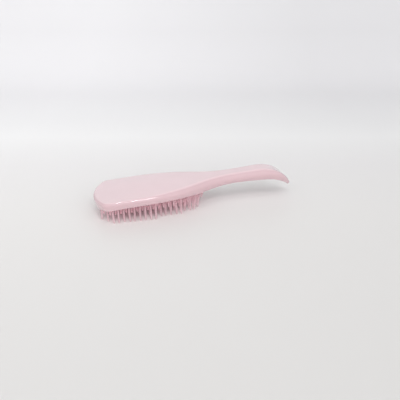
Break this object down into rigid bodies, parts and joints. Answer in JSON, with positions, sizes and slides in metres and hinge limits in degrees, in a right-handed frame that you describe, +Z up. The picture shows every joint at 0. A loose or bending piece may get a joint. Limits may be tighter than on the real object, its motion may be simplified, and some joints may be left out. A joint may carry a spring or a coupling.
{
  "type": "detangling hair brush",
  "caption": "Detangling hair brush with a hollow glossy back and curved handle in one sweep, and a pad of long and short flexible teeth.",
  "frame": {"origin": "middle of the brush's length and width, on the floor under the tooth tips", "axes": "+X from the toe of the head to the tail of the handle, +Y across the head, +Z up from the tooth tips to the back"},
  "size_m": [0.2246, 0.066, 0.0377],
  "materials": {
    "shell": "glossy moulded pale pink",
    "teeth": "satin moulded deeper pink, slightly flexible"
  },
  "bodies": {
    "root": {"back_shell": "shell", "handle_cover": "shell", "tooth_pad": "teeth", "long_teeth": "teeth", "short_teeth": "teeth"}
  },
  "joints": []
}
